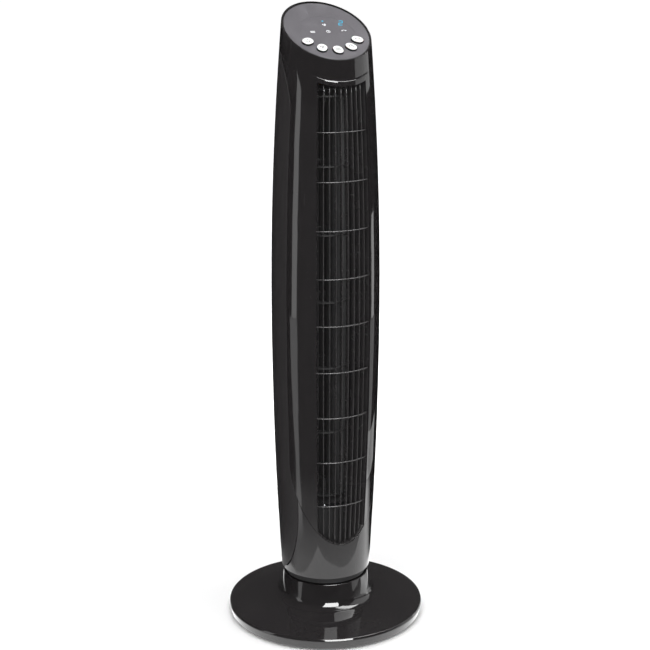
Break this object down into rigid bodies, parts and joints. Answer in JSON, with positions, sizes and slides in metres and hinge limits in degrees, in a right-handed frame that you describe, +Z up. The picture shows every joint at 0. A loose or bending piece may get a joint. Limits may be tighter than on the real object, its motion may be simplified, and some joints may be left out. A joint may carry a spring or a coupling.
{
  "type": "tower fan",
  "caption": "Slim oscillating tower fan with a slanted button panel, a finned outlet and a round weighted base.",
  "frame": {"origin": "on the floor under the middle of the round base, on the axis that the tower turns about", "axes": "+Z up, -Y out of the front outlet, +X to the right as seen from the front with the viewer facing +Y"},
  "size_m": [0.296, 0.296, 0.914],
  "materials": {
    "gloss_shell": "gloss",
    "satin_shell": "satin",
    "grille": "semi-gloss",
    "dark_plastic": "matte",
    "panel_film": "gloss",
    "button_white": "semi-gloss",
    "rubber": "matte",
    "steel": "satin",
    "weight_iron": "matte",
    "copper": "enamelled",
    "nylon": "satin",
    "bronze": "satin",
    "circuit_board": "satin",
    "wheel_plastic": "satin",
    "cable": "satin"
  },
  "bodies": {
    "base": {"base_dish": "gloss_shell", "base_cover": "dark_plastic", "base_weight": "weight_iron", "rubber_feet": "rubber", "base_screws": "steel", "cord_gland": "rubber", "pivot_post": "dark_plastic", "pivot_screws": "steel", "glide_ring": "nylon", "fixed_gear": "nylon", "retaining_clip": "steel"},
    "tower": {"turntable": "dark_plastic", "rear_shell": "satin_shell", "front_cover": "gloss_shell", "chin_cover": "gloss_shell", "front_grille": "grille", "shell_screws": "steel", "duct_scroll": "dark_plastic", "duct_tongue": "dark_plastic", "duct_bottom_plate": "dark_plastic", "duct_top_plate": "dark_plastic", "top_bush": "bronze", "motor_bracket": "dark_plastic", "motor_mounts": "rubber", "motor_stator": "steel", "motor_windings": "copper", "motor_cap_lower": "steel", "motor_cap_upper": "steel", "motor_capacitor": "dark_plastic", "power_board": "circuit_board", "wiring_loom": "cable", "osc_motor": "steel", "osc_bracket": "dark_plastic", "osc_screws": "steel", "control_panel": "dark_plastic", "panel_overlay": "panel_film", "control_board": "circuit_board", "board_screws": "steel", "tact_switches": "dark_plastic", "led_display": "nylon", "ir_receiver": "dark_plastic"},
    "blower": {"blower_wheel": "wheel_plastic", "blower_shaft": "steel", "top_stub_shaft": "steel", "motor_rotor": "steel"},
    "drive_pinion": {"osc_pinion": "nylon", "osc_shaft": "steel"},
    "power_button_body": {"power_button": "button_white"},
    "speed_button_body": {"speed_button": "button_white"},
    "mode_button_body": {"mode_button": "button_white"},
    "timer_button_body": {"timer_button": "button_white"},
    "oscillate_button_body": {"oscillate_button": "button_white"}
  },
  "joints": [
    {"name": "tower_oscillate", "type": "hinge", "parent": "base", "child": "tower", "pos_m": [0, 0, 0.075], "axis": [0, 0, 1], "range_deg": [-40, 40]},
    {"name": "blower_spin", "type": "hinge", "parent": "tower", "child": "blower", "pos_m": [0, 0.006, 0.19], "axis": [0, 0, 1], "continuous": true},
    {"name": "pinion_spin", "type": "hinge", "parent": "tower", "child": "drive_pinion", "pos_m": [0, 0.0376, 0.0873], "axis": [0, 0, 1], "range_deg": [-121, 121]},
    {"name": "power_button_press", "type": "slide", "parent": "tower", "child": "power_button_body", "axis": [0, 0.4924, -0.8704], "range_m": [0, 0.001], "stiffness_N_per_m": 300, "springref_m": -0.0012},
    {"name": "speed_button_press", "type": "slide", "parent": "tower", "child": "speed_button_body", "axis": [0, 0.4924, -0.8704], "range_m": [0, 0.001], "stiffness_N_per_m": 300, "springref_m": -0.0012},
    {"name": "mode_button_press", "type": "slide", "parent": "tower", "child": "mode_button_body", "axis": [0, 0.4924, -0.8704], "range_m": [0, 0.001], "stiffness_N_per_m": 300, "springref_m": -0.0012},
    {"name": "timer_button_press", "type": "slide", "parent": "tower", "child": "timer_button_body", "axis": [0, 0.4924, -0.8704], "range_m": [0, 0.001], "stiffness_N_per_m": 300, "springref_m": -0.0012},
    {"name": "oscillate_button_press", "type": "slide", "parent": "tower", "child": "oscillate_button_body", "axis": [0, 0.4924, -0.8704], "range_m": [0, 0.001], "stiffness_N_per_m": 300, "springref_m": -0.0012}
  ],
  "couplings": [
    {"joint": "pinion_spin", "follows": "tower_oscillate", "ratio": 3}
  ]
}
